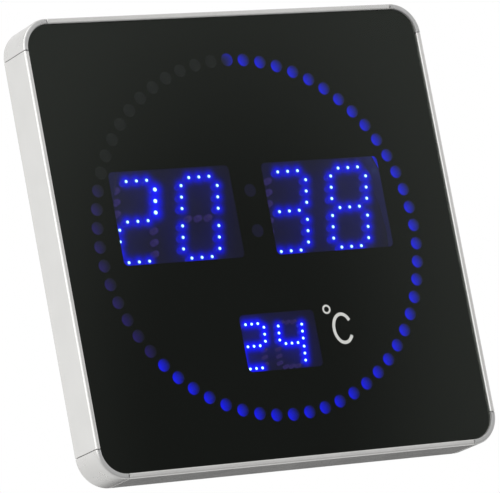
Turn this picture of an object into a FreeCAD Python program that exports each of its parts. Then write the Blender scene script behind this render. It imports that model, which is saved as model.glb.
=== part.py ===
import FreeCAD, Part

import os
from math import cos, pi, sin, sqrt

# Square wall clock with two pairs of LED digits, a small LED thermometer and a ring of
# sixty second lights behind a glass front, held in a frame of four extruded rails
# joined by four moulded corners.
# X points right and Z up as seen from the front. Y points into the wall.
# The origin is the centre of the back face, which lies flat against the wall.
# All sizes are in millimetres.

# Flat sides that stand for a circle on small repeated parts, and on larger ones
small_round_sides = 6
round_sides = 8
fine_round_sides = 10
cell_sides = 20
shield_sides = 40

# Outside of the frame
width = 280.0
height = 280.0
depth = 26.25

# Rail section, measured inward from the outer face and back from the front lip
wall = 1.6
lip_width = 3.4
lip_thickness = 1.84
outer_edge_round = 1.2
inner_edge_bevel = 0.4
rib_reach = 6.2
rib_thickness = 1.4
ledge_reach = 8.0
ledge_thickness = 1.5
channel_reach = 7.0
channel_height = 9.0
channel_wall = 1.2
channel_hook = 1.6

# Corner pieces
corner_leg = 19.0
seam_gap = 0.3
key_length = 16.0
key_play = 0.1
cover_screw_offset = 5.0

# Glass, mask and gasket
glass_thickness = 4.0
glass_gap = 0.3
mask_thickness = 0.2
mask_inset = 0.6
gasket_thickness = 0.8
gasket_inset = 0.9
gasket_overhang = 0.4
gasket_joint = 0.2

# Ring of second lights
second_count = 60
second_ring_radius = 110.3
second_window_radius = 4.0
second_led_length = 3.2
second_led_width = 2.8
second_led_height = 1.9

# Time digits: centres of the two pairs, then the grid of one digit
hour_pair_x = -54.7
minute_pair_x = 51.3
time_z = 16.2
digit_pitch = 43.3
digit_column = 12.6
digit_rise = 24.75
digit_slant = 0.163
digit_column_stagger = 0.65
led_pitch = 7.05
led_radius = 2.5
led_height = 5.3

# Thermometer digits
thermometer_x = 0.95
thermometer_z = -65.1
small_digit_pitch = 26.7
small_digit_column = 8.3
small_digit_rise = 13.6
small_digit_slant = 0.088
small_led_pitch = 4.3
small_led_radius = 1.5
small_led_height = 5.0

# Windows in the mask around the digits
window_side_margin = 3.3
window_end_margin = 3.9
window_corner_radius = 3.0
colon_x = -1.0
colon_z = 15.85
colon_spread = 12.55

# Main board
board_front = 6.0
board_thickness = 1.6
board_frame_gap = 2.7
board_bay_gap = 2.0
board_screw_inset = 8.0
board_boss_radius = 3.5

# Wall round the digits that keeps the light of the ring out of their windows
shield_inset = 9.8
shield_thickness = 1.2
shield_front_gap = 0.2
shield_side_gap = 0.3

# Corner bays beside the main board, inside the rails
bay = 44.0

# Rear cover
cover_thickness = 2.5
cover_gap = 0.2
moulding_wall = 1.5

# Screws
screw_radius = 1.3
screw_head_radius = 2.5
screw_head_height = 1.6
screw_length = 9.0
screw_play = 0.05
board_screw_length = 4.8
set_screw_radius = 1.5

# Keyholes, measured from the top and the sides of the frame
keyhole_side = 30.0
keyhole_top = 38.0
keyhole_radius = 4.5
keyhole_slot = 4.6
keyhole_rise = 10.0

# Push buttons on the back
button_names = ("set", "up", "down", "radio")
button_pitch = 8.5
button_width = 8.0
button_height = 5.0
button_recess = 0.5
button_play = 0.2
button_flange = 1.0
button_flange_height = 1.0
button_travel = 0.3
switch_size = 6.0
switch_height = 3.5
plunger_size = 2.4
plunger_height = 1.5
plunger_seat = 1.0
plunger_play = 0.1
key_board_width = 12.0
key_board_thickness = 1.2
key_post_radius = 2.4
key_post_spacing = 39.0
key_board_side = 44.0
key_board_bottom = 31.0

# Socket for the mains adapter
socket_width = 9.0
socket_height = 11.0
socket_length = 14.0
socket_axis = 5.0
socket_nose_radius = 4.0
socket_bore_radius = 3.0
socket_bore_depth = 10.0
socket_pin_radius = 1.0
socket_side = 25.0
socket_pocket_width = 18.0
socket_pocket_length = 23.0
socket_pocket_depth = 12.6
socket_pocket_bottom = 21.5

# Coin cell and its door
cell_radius = 10.0
cell_thickness = 3.2
cell_play = 0.3
cell_cover_gap = 0.8
contact_thickness = 0.4
contact_width = 4.0
door_width = 27.0
door_height = 29.0
door_thickness = 1.6
door_play = 0.15
door_pin_radius = 0.7
door_pin_length = 1.2
door_pin_play = 0.05
door_side = 25.0
door_bottom = 22.0
cell_from_door_edge = 12.5

# Parts on the main board
chip_side = 12.0
chip_height = 1.2
driver_length = 10.3
driver_width = 7.5
driver_height = 1.6
driver_spacing = 43.0
driver_z = -28.0
capacitor_radius = 4.0
capacitor_length = 11.5
regulator_side = 6.5
regulator_height = 2.3
crystal_radius = 1.0
crystal_length = 6.0
power_parts_x = 58.0
power_parts_z = -62.0
radio_x = 52.0
radio_z = 72.0
radio_board_length = 22.0
radio_board_width = 12.0
radio_board_thickness = 1.0
radio_header_height = 2.5
radio_chip_side = 5.0
radio_chip_height = 1.0
antenna_x = -8.0
antenna_z = 72.0
antenna_radius = 4.0
antenna_length = 60.0
antenna_cradle_width = 4.0
antenna_cradle_base = 10.0
antenna_cradle_floor = 1.0
antenna_coil_length = 22.0
antenna_coil_wall = 1.2

# Temperature sensor and the air slots behind it
sensor_radius = 1.5
sensor_length = 13.0
sensor_side = 46.0
sensor_bottom = 32.0
sensor_clip_width = 1.6
sensor_clip_height = 3.0
air_slot_count = 4
air_slot_pitch = 5.0
air_slot_width = 2.0
air_slot_length = 9.0

# Planes from front to back
half_width = width / 2
half_height = height / 2
y_lip = -depth
y_glass_front = y_lip + lip_thickness
y_glass_back = y_glass_front + glass_thickness
y_mask_back = y_glass_back + mask_thickness
y_rib_front = y_mask_back + gasket_thickness
y_rib_back = y_rib_front + rib_thickness
y_board_front = -board_front
y_board_back = y_board_front + board_thickness
y_cover_front = -cover_thickness
y_ledge_front = y_cover_front - ledge_thickness
y_channel_middle = (y_rib_back + y_ledge_front) / 2
y_channel_front = y_channel_middle - channel_height / 2
y_channel_back = y_channel_middle + channel_height / 2
y_key_front = y_channel_front + channel_wall + key_play
y_key_back = y_channel_back - channel_wall - key_play
key_reach = channel_reach - channel_wall - key_play

# Inner corner of each bay, and the main board that is cut to clear it
bay_x = half_width - channel_reach - bay
bay_z = half_height - channel_reach - bay
board_half_x = half_width - channel_reach - board_frame_gap
board_half_z = half_height - channel_reach - board_frame_gap
board_diagonal = bay_x + bay_z - board_bay_gap * sqrt(2)

AXIS_X = FreeCAD.Vector(1, 0, 0)
AXIS_Y = FreeCAD.Vector(0, 1, 0)
AXIS_Z = FreeCAD.Vector(0, 0, 1)
ORIGIN = FreeCAD.Vector(0, 0, 0)


def vector(x, y, z):
    return FreeCAD.Vector(x, y, z)


def block(x0, x1, y0, y1, z0, z1):
    return Part.makeBox(x1 - x0, y1 - y0, z1 - z0, vector(x0, y0, z0))


def centred_block(x, z, size_x, size_z, y0, y1):
    return block(x - size_x / 2, x + size_x / 2, y0, y1, z - size_z / 2, z + size_z / 2)


def face_of(points):
    return Part.Face(Part.makePolygon(points + [points[0]]))


def rod_y(x, z, radius, y0, y1):
    return Part.makeCylinder(radius, y1 - y0, vector(x, y0, z), AXIS_Y)


def rod_x(x0, x1, y, z, radius):
    return Part.makeCylinder(radius, x1 - x0, vector(x0, y, z), AXIS_X)


def regular_outline(middle, across, up, radius, sides):
    """Corners of a regular polygon, the first of them on the across direction."""
    corners = []
    for side in range(sides):
        angle = 2 * pi * side / sides
        corners.append(middle + across * (radius * cos(angle)) + up * (radius * sin(angle)))
    return corners


def bar(middle, across, up, radius, run, sides=round_sides):
    """Small round part drawn with a few flat sides."""
    return face_of(regular_outline(middle, across, up, radius, sides)).extrude(run)


def bar_y(x, z, radius, y0, y1, sides=round_sides):
    return bar(vector(x, y0, z), AXIS_X, AXIS_Z, radius, vector(0, y1 - y0, 0), sides)


def bar_x(x0, x1, y, z, radius, sides=round_sides):
    return bar(vector(x0, y, z), AXIS_Y, AXIS_Z, radius, vector(x1 - x0, 0, 0), sides)


def bar_z(x, y, z0, z1, radius, sides=round_sides):
    return bar(vector(x, y, z0), AXIS_X, AXIS_Y, radius, vector(0, 0, z1 - z0), sides)


def edges_along_y(shape):
    found = []
    for edge in shape.Edges:
        first, last = edge.Vertexes[0].Point, edge.Vertexes[-1].Point
        if abs(first.x - last.x) < 1e-6 and abs(first.z - last.z) < 1e-6 and edge.Length > 1e-6:
            found.append(edge)
    return found


def rounded_plate(x, z, size_x, size_z, radius, y0, y1):
    plate = centred_block(x, z, size_x, size_z, y0, y1)
    return plate.makeFillet(radius, edges_along_y(plate))


def faceted_plate(x, z, size_x, size_z, radius, y0, y1):
    """Plate with each rounded corner drawn as three flats."""
    outline = []
    steps = 3
    for corner in range(4):
        side_x = 1 if corner in (0, 3) else -1
        side_z = 1 if corner in (0, 1) else -1
        for step in range(steps + 1):
            angle = pi / 2 * (corner + step / steps)
            outline.append(vector(x + side_x * (size_x / 2 - radius) + radius * cos(angle), y0,
                                  z + side_z * (size_z / 2 - radius) + radius * sin(angle)))
    return face_of(outline).extrude(vector(0, y1 - y0, 0))


def turned(shape, quarter_turns):
    copy = shape.copy()
    copy.rotate(ORIGIN, AXIS_Y, 90.0 * quarter_turns)
    return copy


def save(name, shape):
    if isinstance(shape, list):
        shape = Part.makeCompound(shape)
    shape.exportStep("parts/" + name + ".step")


def halves_for(quarter_turns):
    if quarter_turns % 2 == 0:
        return half_width, half_height
    return half_height, half_width


# Frame rails


def frame_front():
    """Outer edge, front lip and glass groove as pairs (distance inward, y)."""
    facet = outer_edge_round * (1 - 1 / sqrt(2))
    return [
        (0, y_lip + outer_edge_round),
        (facet, y_lip + facet),
        (outer_edge_round, y_lip),
        (lip_width - inner_edge_bevel, y_lip),
        (lip_width, y_lip + inner_edge_bevel),
        (lip_width, y_glass_front),
        (wall, y_glass_front),
        (wall, y_rib_front),
    ]


def glass_rib():
    return [(rib_reach, y_rib_front), (rib_reach, y_rib_back), (wall, y_rib_back)]


def key_channel():
    """Hooked channel between rib and ledge that takes the corner key."""
    inner = channel_reach - channel_wall
    front_hook = y_channel_front + channel_wall + channel_hook
    back_hook = y_channel_back - channel_wall - channel_hook
    return [
        (wall, y_channel_front),
        (channel_reach, y_channel_front),
        (channel_reach, front_hook),
        (inner, front_hook),
        (inner, y_channel_front + channel_wall),
        (wall, y_channel_front + channel_wall),
        (wall, y_channel_back - channel_wall),
        (inner, y_channel_back - channel_wall),
        (inner, back_hook),
        (channel_reach, back_hook),
        (channel_reach, y_channel_back),
        (wall, y_channel_back),
    ]


def cover_ledge():
    return [
        (wall, y_ledge_front),
        (ledge_reach, y_ledge_front),
        (ledge_reach, y_cover_front),
        (wall, y_cover_front),
    ]


def frame_back():
    return [(wall, 0), (0, 0)]


def rail(quarter_turns):
    run, edge = halves_for(quarter_turns)
    run = run - corner_leg - seam_gap
    outline = frame_front() + glass_rib() + key_channel() + cover_ledge() + frame_back()
    face = face_of([vector(-run, y, edge - inward) for inward, y in outline])
    return turned(face.extrude(vector(2 * run, 0, 0)), quarter_turns)


# Frame corners


def set_screw_places(corner_x, corner_z, edge_x, edge_z):
    """Middle of the key in the top rail, then of the key in the side rail."""
    half_key = key_length / 2
    return [
        (corner_x - half_key, edge_z, vector(0, 0, -1)),
        (edge_x, corner_z - half_key, vector(-1, 0, 0)),
    ]


def set_screw(x, z, inward, radius):
    start = vector(x, y_channel_middle, z) + inward * wall
    run = inward * (key_reach - wall)
    return bar(start, AXIS_Y, inward.cross(AXIS_Y), radius, run, small_round_sides)


def corner(quarter_turns):
    """Moulded corner with the rail's outer section, solid behind the glass, and two keys."""
    edge_x, edge_z = halves_for(quarter_turns)
    corner_x = edge_x - corner_leg
    corner_z = edge_z - corner_leg
    core = [(corner_leg, y_rib_front), (corner_leg, y_cover_front), (wall, y_cover_front)]
    outline = frame_front() + core + frame_back()
    section = face_of([vector(corner_x, y, edge_z - inward) for inward, y in outline])
    body = section.revolve(vector(corner_x, 0, corner_z), AXIS_Y, 90)
    keys = [
        block(corner_x - key_length, corner_x, y_key_front, y_key_back,
              edge_z - key_reach, edge_z - wall),
        block(edge_x - key_reach, edge_x - wall, y_key_front, y_key_back,
              corner_z - key_length, corner_z),
    ]
    holes = [bar_y(corner_x + cover_screw_offset, corner_z + cover_screw_offset,
                   screw_radius + screw_play, -screw_length, y_cover_front)]
    for x, z, inward in set_screw_places(corner_x, corner_z, edge_x, edge_z):
        holes.append(set_screw(x, z, inward, set_screw_radius + screw_play))
    return turned(body.fuse(keys).cut(holes).removeSplitter(), quarter_turns)


def set_screws():
    screws = []
    for quarter_turns in range(4):
        edge_x, edge_z = halves_for(quarter_turns)
        places = set_screw_places(edge_x - corner_leg, edge_z - corner_leg, edge_x, edge_z)
        for x, z, inward in places:
            screws.append(turned(set_screw(x, z, inward, set_screw_radius), quarter_turns))
    return screws


# Glass, mask and gasket


def frame_plate(inset, y0, y1):
    """Plate whose edge lies the given distance inside the frame's outer face."""
    return rounded_plate(0, 0, width - 2 * inset, height - 2 * inset, corner_leg - inset, y0, y1)


def digit_window(x, z, pitch, column, rise, slant):
    half_x = pitch / 2 + column + slant * rise + window_side_margin
    half_z = rise + window_end_margin
    return faceted_plate(x, z, 2 * half_x, 2 * half_z, window_corner_radius,
                         y_glass_back, y_mask_back)


def ring_places(radius):
    places = []
    for index in range(second_count):
        angle = 2 * pi * index / second_count
        places.append((radius * sin(angle), radius * cos(angle)))
    return places


def window_mask():
    mask = frame_plate(wall + glass_gap + mask_inset, y_glass_back, y_mask_back)
    holes = []
    for pair_x in (hour_pair_x, minute_pair_x):
        holes.append(digit_window(pair_x, time_z, digit_pitch, digit_column, digit_rise, digit_slant))
    holes.append(digit_window(thermometer_x, thermometer_z, small_digit_pitch, small_digit_column,
                              small_digit_rise, small_digit_slant))
    round_places = ring_places(second_ring_radius) + colon_places()
    for x, z in round_places:
        holes.append(bar_y(x, z, second_window_radius, y_glass_back, y_mask_back, fine_round_sides))
    return mask.cut(Part.makeCompound(holes))


def gasket():
    """Four foam strips between the mask and the rails' ribs, cut short of the corners."""
    strips = []
    for quarter_turns in range(4):
        run, edge = halves_for(quarter_turns)
        run = run - corner_leg - gasket_joint
        strip = block(-run, run, y_mask_back, y_rib_front,
                      edge - rib_reach + gasket_overhang, edge - wall - gasket_inset)
        strips.append(turned(strip, quarter_turns))
    return strips


# Lights


def colon_places():
    return [(colon_x, colon_z + side * colon_spread) for side in (1, -1)]


def digit_places(x, z, column, rise, slant, pitch, stagger):
    """Three rows of three lights and four uprights of three lights."""
    steps = (-1, 0, 1)
    places = []
    for row in steps:
        for step in steps:
            places.append((x + step * pitch + slant * row * rise, z + row * rise))
    for side in (-1, 1):
        for half in (-1, 1):
            for step in steps:
                up = half * rise / 2 + step * pitch - side * stagger
                places.append((x + side * column + slant * up, z + up))
    return places


def time_led_places():
    places = []
    for pair_x in (hour_pair_x, minute_pair_x):
        for side in (-1, 1):
            places += digit_places(pair_x + side * digit_pitch / 2, time_z, digit_column, digit_rise,
                                   digit_slant, led_pitch, digit_column_stagger)
    return places


def thermometer_led_places():
    places = []
    for side in (-1, 1):
        places += digit_places(thermometer_x + side * small_digit_pitch / 2, thermometer_z,
                               small_digit_column, small_digit_rise, small_digit_slant,
                               small_led_pitch, 0)
    return places


def round_leds(places, radius, tall, sides):
    return [bar_y(x, z, radius, y_board_front - tall, y_board_front, sides) for x, z in places]


def second_leds():
    leds = []
    for index in range(second_count):
        led = centred_block(0, second_ring_radius, second_led_length, second_led_width,
                            y_board_front - second_led_height, y_board_front)
        led.rotate(ORIGIN, AXIS_Y, 360.0 * index / second_count)
        leds.append(led)
    return leds


# Main board and what it carries


def board_screw_places():
    along = board_half_x - board_screw_inset
    across = board_diagonal - board_screw_inset * sqrt(2) - along
    return [(x, z) for x in (-along, along) for z in (-across, across)]


def main_board():
    outline = []
    for side_x, side_z in ((1, 1), (-1, 1), (-1, -1), (1, -1)):
        pair = [
            vector(side_x * board_half_x, y_board_front, side_z * (board_diagonal - board_half_x)),
            vector(side_x * (board_diagonal - board_half_z), y_board_front, side_z * board_half_z),
        ]
        outline += pair if side_x == side_z else pair[::-1]
    board = face_of(outline).extrude(vector(0, board_thickness, 0))
    holes = []
    for x, z in board_screw_places():
        holes.append(bar_y(x, z, screw_radius + screw_play, y_board_front, y_board_back))
    return board.cut(holes)


def pan_screw(x, z, y_seat, length):
    """Screw that enters towards the back, with its head in front of the seat."""
    head = bar_y(x, z, screw_head_radius, y_seat - screw_head_height, y_seat)
    return head.fuse(bar_y(x, z, screw_radius, y_seat, y_seat + length))


def on_board_back(x, z, size_x, size_z, tall):
    return centred_block(x, z, size_x, size_z, y_board_back, y_board_back + tall)


def driver_chips():
    middle = (hour_pair_x + minute_pair_x) / 2
    chips = []
    for side in (-1.5, -0.5, 0.5, 1.5):
        chips.append(on_board_back(middle + side * driver_spacing, driver_z,
                                   driver_length, driver_width, driver_height))
    return chips


def power_parts():
    can = bar_y(power_parts_x, power_parts_z, capacitor_radius,
                y_board_front - capacitor_length, y_board_front, fine_round_sides)
    regulator_z = power_parts_z - capacitor_radius - regulator_side
    regulator = centred_block(power_parts_x, regulator_z, regulator_side, regulator_side,
                              y_board_front - regulator_height, y_board_front)
    return can, regulator


def crystal():
    y = y_board_front - crystal_radius
    z = chip_side / 2 + crystal_radius * 2
    half = crystal_length / 2
    return bar_x(colon_x - half, colon_x + half, y, time_z + z, crystal_radius)


def radio_module():
    y_back = y_board_front - radio_header_height
    y_front = y_back - radio_board_thickness
    board = centred_block(radio_x, radio_z, radio_board_length, radio_board_width, y_front, y_back)
    chip = centred_block(radio_x, radio_z, radio_chip_side, radio_chip_side,
                         y_front - radio_chip_height, y_front)
    header = centred_block(radio_x, radio_z - radio_board_width / 2 + radio_header_height,
                           radio_board_length / 2, radio_header_height, y_back, y_board_front)
    return board, chip, header


def antenna_bar(length, radius):
    """Bar along the antenna's own axis, as long as asked for."""
    y = y_board_front - antenna_cradle_floor - antenna_radius - antenna_coil_wall
    return bar_x(antenna_x - length / 2, antenna_x + length / 2, y, antenna_z, radius, fine_round_sides)


def antenna():
    ferrite = antenna_bar(antenna_length, antenna_radius)
    coil = antenna_bar(antenna_coil_length, antenna_radius + antenna_coil_wall)
    coil = coil.cut(antenna_bar(antenna_coil_length, antenna_radius))
    y_axis = ferrite.CenterOfMass.y
    cradles = []
    for side in (-1, 1):
        middle = antenna_x + side * (antenna_length / 2 - antenna_cradle_width)
        cradle = centred_block(middle, antenna_z, antenna_cradle_width, antenna_cradle_base,
                               y_axis, y_board_front)
        cradles.append(cradle.cut(ferrite))
    return ferrite, coil, cradles


def room_round(shape, gap):
    """Block on the main board that leaves the given gap beside and in front of a shape."""
    box = shape.BoundBox
    return block(box.XMin - gap, box.XMax + gap, box.YMin - gap, y_board_front, box.ZMin - gap, box.ZMax + gap)


def light_shield():
    """Round wall between the ring and the digits, cut out where a part reaches into it."""
    outer = second_ring_radius - shield_inset
    y_front = y_mask_back + shield_front_gap
    shield = bar_y(0, 0, outer, y_front, y_board_front, shield_sides)
    shield = shield.cut(bar_y(0, 0, outer - shield_thickness, y_front, y_board_front, shield_sides))
    parts = round_leds(time_led_places(), led_radius, led_height, small_round_sides)
    parts += radio_module() + power_parts()
    return shield.cut([room_round(part, shield_side_gap) for part in parts])


# Back of the clock: buttons, socket, coin cell, sensor


def button_places():
    x = half_width - key_board_side
    middle = -(half_height - key_board_bottom)
    first = (len(button_names) - 1) / 2
    return [(x, middle + (first - index) * button_pitch) for index in range(len(button_names))]


def key_board_middle():
    places = button_places()
    return places[0][0], (places[0][1] + places[-1][1]) / 2


y_flange_front = y_cover_front - button_flange_height
y_switch_back = y_flange_front - plunger_height
y_switch_front = y_switch_back - switch_height
y_key_board_front = y_switch_front - key_board_thickness


def button(x, z):
    cap = centred_block(x, z, button_width, button_height, y_cover_front, -button_recess)
    flange = centred_block(x, z, button_width + 2 * button_flange, button_height + 2 * button_flange,
                           y_flange_front, y_cover_front)
    return cap.fuse(flange)


def plunger(x, z):
    return centred_block(x, z, plunger_size, plunger_size, y_switch_back - plunger_seat, y_flange_front)


def switch_housings():
    housings = []
    hole = plunger_size + 2 * plunger_play
    deep = plunger_seat + button_travel + plunger_play
    for x, z in button_places():
        housing = centred_block(x, z, switch_size, switch_size, y_switch_front, y_switch_back)
        housings.append(housing.cut(centred_block(x, z, hole, hole, y_switch_back - deep, y_switch_back)))
    return housings


def key_post_places():
    x, z = key_board_middle()
    return [(x, z + side * key_post_spacing / 2) for side in (-1, 1)]


def key_board():
    x, z = key_board_middle()
    length = key_post_spacing + 2 * key_post_radius
    board = centred_block(x, z, key_board_width, length, y_key_board_front, y_switch_front)
    for post_x, post_z in key_post_places():
        board = board.cut(bar_y(post_x, post_z, screw_radius + screw_play, y_key_board_front, y_switch_front))
    return board


socket_x = half_width - socket_side
socket_pocket_low = -(half_height - socket_pocket_bottom)
socket_pocket_high = socket_pocket_low + socket_pocket_length
y_socket_axis = y_cover_front - socket_axis


def socket():
    low = socket_pocket_high + moulding_wall
    y_front = y_cover_front - socket_height
    body = block(socket_x - socket_width / 2, socket_x + socket_width / 2, y_front, y_cover_front,
                 low, low + socket_length)
    body = body.fuse(bar_z(socket_x, y_socket_axis, socket_pocket_high, low, socket_nose_radius,
                           fine_round_sides))
    bore = bar_z(socket_x, y_socket_axis, socket_pocket_high,
                 socket_pocket_high + socket_bore_depth, socket_bore_radius, fine_round_sides)
    return body.cut(bore)


def socket_pin():
    return bar_z(socket_x, y_socket_axis, socket_pocket_high + moulding_wall,
                 socket_pocket_high + socket_bore_depth, socket_pin_radius)


door_x = -(half_width - door_side)
door_low = -(half_height - door_bottom)
door_high = door_low + door_height
barrel_radius = cover_thickness / 2
hinge_z = door_high - barrel_radius
hinge_y = -barrel_radius
cell_z = door_low + cell_from_door_edge
y_cell_back = -(door_thickness + cell_cover_gap)
y_cell_front = y_cell_back - cell_thickness
y_cell_floor = y_cell_front - contact_thickness


def battery_door():
    """Flat door with a round barrel along its top edge and a pin at each end of it."""
    left = door_x - door_width / 2
    plate = block(left, left + door_width, -door_thickness, 0, door_low, hinge_z)
    barrel = bar_x(left, left + door_width, hinge_y, hinge_z, barrel_radius, fine_round_sides)
    pins = rod_x(left - door_pin_length, left + door_width + door_pin_length, hinge_y, hinge_z,
                 door_pin_radius)
    return plate.fuse([barrel, pins]).removeSplitter()


def coin_cell():
    return bar_y(door_x, cell_z, cell_radius, y_cell_front, y_cell_back, cell_sides)


def cell_contacts():
    strip = centred_block(door_x, cell_z, contact_width, cell_radius, y_cell_floor, y_cell_front)
    side = block(door_x - cell_radius - contact_thickness, door_x - cell_radius, y_cell_floor, y_cell_back,
                 cell_z - contact_width / 2, cell_z + contact_width / 2)
    return [strip, side]


def sensor_place():
    return -(half_width - sensor_side), -(half_height - sensor_bottom)


def sensor():
    x, z = sensor_place()
    y = y_cover_front - sensor_clip_height - sensor_radius
    return bar_z(x, y, z - sensor_length / 2, z + sensor_length / 2, sensor_radius)


# Rear cover


def cell_moulding():
    outer = moulding_wall + door_play
    left = door_x - door_width / 2
    return block(left - outer, left + door_width + outer, y_cell_floor - moulding_wall, y_cover_front,
                 door_low - outer, door_high + outer)


def cell_cuts():
    left = door_x - door_width / 2 - door_play
    right = door_x + door_width / 2 + door_play
    groove = barrel_radius + door_play
    pin_reach = door_width / 2 + door_pin_length + door_play
    return [
        block(left, right, -door_thickness, 0, door_low - door_play, door_high + door_play),
        block(left, right, hinge_y - groove, 0, hinge_z - groove, door_high + door_play),
        rod_x(door_x - pin_reach, door_x + pin_reach, hinge_y, hinge_z, door_pin_radius + door_pin_play),
        bar_y(door_x, cell_z, cell_radius + cell_play, y_cell_floor, 0, cell_sides),
        block(door_x - cell_radius - contact_thickness, door_x, y_cell_floor, 0,
              cell_z - contact_width / 2 - cell_play, cell_z + contact_width / 2 + cell_play),
    ]


def socket_moulding():
    half = socket_pocket_width / 2 + moulding_wall
    return block(socket_x - half, socket_x + half, -socket_pocket_depth - moulding_wall, y_cover_front,
                 socket_pocket_low - moulding_wall, socket_pocket_high + moulding_wall)


def socket_cuts():
    half = socket_pocket_width / 2
    return [
        block(socket_x - half, socket_x + half, -socket_pocket_depth, 0,
              socket_pocket_low, socket_pocket_high),
        bar_z(socket_x, y_socket_axis, socket_pocket_high,
              socket_pocket_high + moulding_wall, socket_nose_radius, fine_round_sides),
    ]


def keyhole_cuts():
    cuts = []
    low = half_height - keyhole_top
    for side in (-1, 1):
        x = side * (half_width - keyhole_side)
        cuts.append(rod_y(x, low, keyhole_radius, y_cover_front, 0))
        cuts.append(centred_block(x, low + keyhole_rise / 2, keyhole_slot, keyhole_rise, y_cover_front, 0))
        cuts.append(bar_y(x, low + keyhole_rise, keyhole_slot / 2, y_cover_front, 0, fine_round_sides))
    return cuts


def cover_screw_places():
    x = half_width - corner_leg + cover_screw_offset
    z = half_height - corner_leg + cover_screw_offset
    return [(side_x * x, side_z * z) for side_x in (-1, 1) for side_z in (-1, 1)]


def countersunk_screw(x, z, play):
    """Screw that enters from the back, with its flat head flush with the back face."""
    rims = []
    for y, radius in ((-screw_head_height, screw_radius), (0, screw_head_radius)):
        rim = regular_outline(vector(x, y, z), AXIS_X, AXIS_Z, radius + play, round_sides)
        rims.append(Part.makePolygon(rim + [rim[0]]))
    head = Part.makeLoft(rims, True, True)
    return head.fuse(bar_y(x, z, screw_radius + play, -screw_length, -screw_head_height))


def air_slot_cuts():
    x, z = sensor_place()
    cuts = []
    for index in range(air_slot_count):
        slot_z = z + (index - (air_slot_count - 1) / 2) * air_slot_pitch
        cuts.append(centred_block(x, slot_z, air_slot_length, air_slot_width, y_cover_front, 0))
    return cuts


def rear_cover():
    plate = frame_plate(wall + cover_gap, y_cover_front, 0)
    added = [cell_moulding(), socket_moulding()]
    for x, z in board_screw_places():
        added.append(bar_y(x, z, board_boss_radius, y_board_back, y_cover_front))
    for x, z in key_post_places():
        added.append(bar_y(x, z, key_post_radius, y_switch_front, y_cover_front))
    sensor_x, sensor_z = sensor_place()
    for side in (-1, 1):
        clip_z = sensor_z + side * air_slot_pitch * (air_slot_count / 2 - 1)
        added.append(centred_block(sensor_x, clip_z, 2 * sensor_radius, sensor_clip_width,
                                   y_cover_front - sensor_clip_height, y_cover_front))
    cuts = cell_cuts() + socket_cuts() + keyhole_cuts() + air_slot_cuts()
    for x, z in button_places():
        cuts.append(centred_block(x, z, button_width + 2 * button_play, button_height + 2 * button_play,
                                  y_cover_front, 0))
    for x, z in cover_screw_places():
        cuts.append(countersunk_screw(x, z, screw_play))
    for x, z in board_screw_places():
        cuts.append(bar_y(x, z, screw_radius + screw_play, y_board_back,
                          y_board_front + board_screw_length))
    for x, z in key_post_places():
        cuts.append(bar_y(x, z, screw_radius + screw_play, y_switch_front,
                          y_key_board_front + board_screw_length))
    return plate.fuse(added).cut(cuts).removeSplitter()


def build():
    os.makedirs("parts", exist_ok=True)
    for index, side in enumerate(("top", "right", "bottom", "left")):
        save("rail_" + side, rail(index))
    for index, place in enumerate(("top_right", "bottom_right", "bottom_left", "top_left")):
        save("corner_" + place, corner(index))
    save("corner_set_screws", set_screws())
    save("front_glass", frame_plate(wall + glass_gap, y_glass_front, y_glass_back))
    save("window_mask", window_mask())
    save("glass_gasket", gasket())
    save("main_board", main_board())
    save("second_leds", second_leds())
    save("light_shield", light_shield())
    save("time_leds", round_leds(time_led_places(), led_radius, led_height, small_round_sides))
    save("colon_leds", round_leds(colon_places(), led_radius, led_height, small_round_sides))
    save("thermometer_leds", round_leds(thermometer_led_places(), small_led_radius, small_led_height,
                                        small_round_sides))
    board_screws = [pan_screw(x, z, y_board_front, board_screw_length) for x, z in board_screw_places()]
    save("board_screws", board_screws)
    save("control_chip", on_board_back(colon_x, time_z, chip_side, chip_side, chip_height))
    save("driver_chips", driver_chips())
    can, regulator = power_parts()
    save("buffer_capacitor", can)
    save("voltage_regulator", regulator)
    save("quartz_crystal", crystal())
    radio_board, radio_chip, radio_header = radio_module()
    save("radio_board", radio_board)
    save("radio_chip", radio_chip)
    save("radio_header", radio_header)
    ferrite, coil, cradles = antenna()
    save("antenna_rod", ferrite)
    save("antenna_coil", coil)
    save("antenna_cradles", cradles)
    save("rear_cover", rear_cover())
    save("cover_screws", [countersunk_screw(x, z, 0) for x, z in cover_screw_places()])
    save("key_board", key_board())
    key_screws = [pan_screw(x, z, y_key_board_front, board_screw_length) for x, z in key_post_places()]
    save("key_board_screws", key_screws)
    save("tact_switches", switch_housings())
    for name, (x, z) in zip(button_names, button_places()):
        save(name + "_button", button(x, z))
        save(name + "_plunger", plunger(x, z))
    save("power_socket", socket())
    save("power_socket_pin", socket_pin())
    save("battery_door", battery_door())
    save("coin_cell", coin_cell())
    save("cell_contacts", cell_contacts())
    save("temperature_sensor", sensor())


build()
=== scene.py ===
import math

import bmesh
import bpy
from mathutils import Matrix, Vector


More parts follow.
